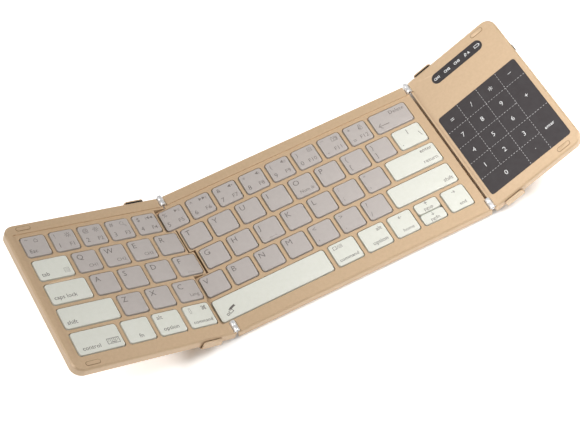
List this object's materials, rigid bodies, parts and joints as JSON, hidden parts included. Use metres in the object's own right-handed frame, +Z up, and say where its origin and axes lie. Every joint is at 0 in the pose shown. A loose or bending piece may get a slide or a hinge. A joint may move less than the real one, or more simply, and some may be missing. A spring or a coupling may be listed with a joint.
{
  "type": "folding keyboard",
  "caption": "Three-section folding wireless keyboard with stepped left fold, low key caps and a touchpad on the right wing, both wings part lifted.",
  "frame": {"origin": "centre of the middle section's rest plane, under its feet", "axes": "+X to the right along the rows, +Y to the back, +Z up"},
  "size_m": [0.3107, 0.1026, 0.0448],
  "materials": {
    "case_gold": "satin champagne metallic paint on moulded plastic",
    "key_taupe": "fine matt moulded key cap",
    "key_cream": "fine matt moulded key cap",
    "pad_black": "dark printed touch surface, satin",
    "window_smoke": "smoked window, gloss",
    "hinge_silver": "bright plated steel",
    "steel": "plain sheet and turned steel",
    "rubber": "matt",
    "circuit": "solder mask",
    "membrane": "translucent silicone",
    "scissor_white": "moulded acetal",
    "battery_foil": "foil pouch"
  },
  "bodies": {
    "mid": {"mid_top_case": "case_gold", "mid_bottom_cover": "case_gold", "mid_key_plate": "steel", "mid_dome_membrane": "membrane", "mid_scissors": "scissor_white", "mid_feet": "rubber", "mid_screws": "steel", "mid_hinge_leaves": "hinge_silver", "hinge_pins": "steel"},
    "left_wing": {"left_top_case": "case_gold", "left_bottom_cover": "case_gold", "left_key_plate": "steel", "left_dome_membrane": "membrane", "left_scissors": "scissor_white", "left_bumpers": "case_gold", "left_foot_bracket": "case_gold", "left_foot_lining": "rubber", "left_screws": "steel", "left_hinge_leaves": "hinge_silver"},
    "right_wing": {"right_top_case": "case_gold", "right_bottom_cover": "case_gold", "touchpad_glass": "pad_black", "touchpad_board": "circuit", "indicator_window": "window_smoke", "main_board": "circuit", "battery": "battery_foil", "charging_socket": "steel", "right_bumpers": "case_gold", "right_foot_bracket": "case_gold", "right_foot_lining": "rubber", "right_screws": "steel", "right_hinge_leaves": "hinge_silver"},
    "power_switch": {"power_switch_knob": "rubber"},
    "key_esc": {"key_esc": "key_taupe"},
    "keys_numbers_left": {"keys_numbers_left": "key_taupe"},
    "key_tab": {"key_tab": "key_cream"},
    "keys_upper_left": {"keys_upper_left": "key_taupe"},
    "key_caps_lock": {"key_caps_lock": "key_cream"},
    "keys_home_left": {"keys_home_left": "key_taupe"},
    "key_shift_left": {"key_shift_left": "key_cream"},
    "keys_lower_left": {"keys_lower_left": "key_taupe"},
    "key_control": {"key_control": "key_cream"},
    "key_fn": {"key_fn": "key_cream"},
    "key_option_left": {"key_option_left": "key_cream"},
    "key_command_left": {"key_command_left": "key_cream"},
    "keys_numbers_mid": {"keys_numbers_mid": "key_taupe"},
    "key_delete": {"key_delete": "key_taupe"},
    "keys_upper_mid": {"keys_upper_mid": "key_taupe"},
    "key_backslash": {"key_backslash": "key_cream"},
    "keys_home_mid": {"keys_home_mid": "key_taupe"},
    "key_enter": {"key_enter": "key_cream"},
    "keys_lower_mid": {"keys_lower_mid": "key_taupe"},
    "key_shift_right": {"key_shift_right": "key_cream"},
    "key_space": {"key_space": "key_cream"},
    "key_command_right": {"key_command_right": "key_cream"},
    "key_option_right": {"key_option_right": "key_cream"},
    "key_arrow_left": {"key_arrow_left": "key_cream"},
    "key_arrow_up": {"key_arrow_up": "key_cream"},
    "key_arrow_down": {"key_arrow_down": "key_cream"},
    "key_arrow_right": {"key_arrow_right": "key_cream"}
  },
  "joints": [
    {"name": "left_fold", "type": "hinge", "parent": "mid", "child": "left_wing", "pos_m": [-0.0806, 0, 0.0075], "axis": [0, 1, 0], "range_deg": [-23, 157]},
    {"name": "right_fold", "type": "hinge", "parent": "mid", "child": "right_wing", "pos_m": [0.0806, 0, 0.0075], "axis": [0, -1, 0], "range_deg": [-29, 151]},
    {"name": "power_switch_slide", "type": "slide", "parent": "right_wing", "child": "power_switch", "axis": [0, 1, 0], "range_m": [0, 0.002]},
    {"name": "key_esc_press", "type": "slide", "parent": "left_wing", "child": "key_esc", "axis": [-0.3907, 0, -0.9205], "range_m": [0, 0.0012], "stiffness_N_per_m": 400, "deforming": ["left_dome_membrane", "left_scissors"]},
    {"name": "keys_numbers_left_press", "type": "slide", "parent": "left_wing", "child": "keys_numbers_left", "axis": [-0.3907, 0, -0.9205], "range_m": [0, 0.0012], "stiffness_N_per_m": 1600},
    {"name": "key_tab_press", "type": "slide", "parent": "left_wing", "child": "key_tab", "axis": [-0.3907, 0, -0.9205], "range_m": [0, 0.0012], "stiffness_N_per_m": 640},
    {"name": "keys_upper_left_press", "type": "slide", "parent": "left_wing", "child": "keys_upper_left", "axis": [-0.3907, 0, -0.9205], "range_m": [0, 0.0012], "stiffness_N_per_m": 1600},
    {"name": "key_caps_lock_press", "type": "slide", "parent": "left_wing", "child": "key_caps_lock", "axis": [-0.3907, 0, -0.9205], "range_m": [0, 0.0012], "stiffness_N_per_m": 680},
    {"name": "keys_home_left_press", "type": "slide", "parent": "left_wing", "child": "keys_home_left", "axis": [-0.3907, 0, -0.9205], "range_m": [0, 0.0012], "stiffness_N_per_m": 1600},
    {"name": "key_shift_left_press", "type": "slide", "parent": "left_wing", "child": "key_shift_left", "axis": [-0.3907, 0, -0.9205], "range_m": [0, 0.0012], "stiffness_N_per_m": 880},
    {"name": "keys_lower_left_press", "type": "slide", "parent": "left_wing", "child": "keys_lower_left", "axis": [-0.3907, 0, -0.9205], "range_m": [0, 0.0012], "stiffness_N_per_m": 1200},
    {"name": "key_control_press", "type": "slide", "parent": "left_wing", "child": "key_control", "axis": [-0.3907, 0, -0.9205], "range_m": [0, 0.0012], "stiffness_N_per_m": 640},
    {"name": "key_fn_press", "type": "slide", "parent": "left_wing", "child": "key_fn", "axis": [-0.3907, 0, -0.9205], "range_m": [0, 0.0012], "stiffness_N_per_m": 440},
    {"name": "key_option_left_press", "type": "slide", "parent": "left_wing", "child": "key_option_left", "axis": [-0.3907, 0, -0.9205], "range_m": [0, 0.0012], "stiffness_N_per_m": 440},
    {"name": "key_command_left_press", "type": "slide", "parent": "left_wing", "child": "key_command_left", "axis": [-0.3907, 0, -0.9205], "range_m": [0, 0.0012], "stiffness_N_per_m": 440},
    {"name": "keys_numbers_mid_press", "type": "slide", "parent": "mid", "child": "keys_numbers_mid", "axis": [0, 0, -1], "range_m": [0, 0.0012], "stiffness_N_per_m": 3200, "deforming": ["mid_dome_membrane", "mid_scissors"]},
    {"name": "key_delete_press", "type": "slide", "parent": "mid", "child": "key_delete", "axis": [0, 0, -1], "range_m": [0, 0.0012], "stiffness_N_per_m": 640},
    {"name": "keys_upper_mid_press", "type": "slide", "parent": "mid", "child": "keys_upper_mid", "axis": [0, 0, -1], "range_m": [0, 0.0012], "stiffness_N_per_m": 3200},
    {"name": "key_backslash_press", "type": "slide", "parent": "mid", "child": "key_backslash", "axis": [0, 0, -1], "range_m": [0, 0.0012], "stiffness_N_per_m": 480},
    {"name": "keys_home_mid_press", "type": "slide", "parent": "mid", "child": "keys_home_mid", "axis": [0, 0, -1], "range_m": [0, 0.0012], "stiffness_N_per_m": 2800},
    {"name": "key_enter_press", "type": "slide", "parent": "mid", "child": "key_enter", "axis": [0, 0, -1], "range_m": [0, 0.0012], "stiffness_N_per_m": 800},
    {"name": "keys_lower_mid_press", "type": "slide", "parent": "mid", "child": "keys_lower_mid", "axis": [0, 0, -1], "range_m": [0, 0.0012], "stiffness_N_per_m": 2800},
    {"name": "key_shift_right_press", "type": "slide", "parent": "mid", "child": "key_shift_right", "axis": [0, 0, -1], "range_m": [0, 0.0012], "stiffness_N_per_m": 1000},
    {"name": "key_space_press", "type": "slide", "parent": "mid", "child": "key_space", "axis": [0, 0, -1], "range_m": [0, 0.0012], "stiffness_N_per_m": 2000},
    {"name": "key_command_right_press", "type": "slide", "parent": "mid", "child": "key_command_right", "axis": [0, 0, -1], "range_m": [0, 0.0012], "stiffness_N_per_m": 440},
    {"name": "key_option_right_press", "type": "slide", "parent": "mid", "child": "key_option_right", "axis": [0, 0, -1], "range_m": [0, 0.0012], "stiffness_N_per_m": 440},
    {"name": "key_arrow_left_press", "type": "slide", "parent": "mid", "child": "key_arrow_left", "axis": [0, 0, -1], "range_m": [0, 0.0012], "stiffness_N_per_m": 400},
    {"name": "key_arrow_up_press", "type": "slide", "parent": "mid", "child": "key_arrow_up", "axis": [0, 0, -1], "range_m": [0, 0.0012], "stiffness_N_per_m": 280},
    {"name": "key_arrow_down_press", "type": "slide", "parent": "mid", "child": "key_arrow_down", "axis": [0, 0, -1], "range_m": [0, 0.0012], "stiffness_N_per_m": 280},
    {"name": "key_arrow_right_press", "type": "slide", "parent": "mid", "child": "key_arrow_right", "axis": [0, 0, -1], "range_m": [0, 0.0012], "stiffness_N_per_m": 400}
  ]
}
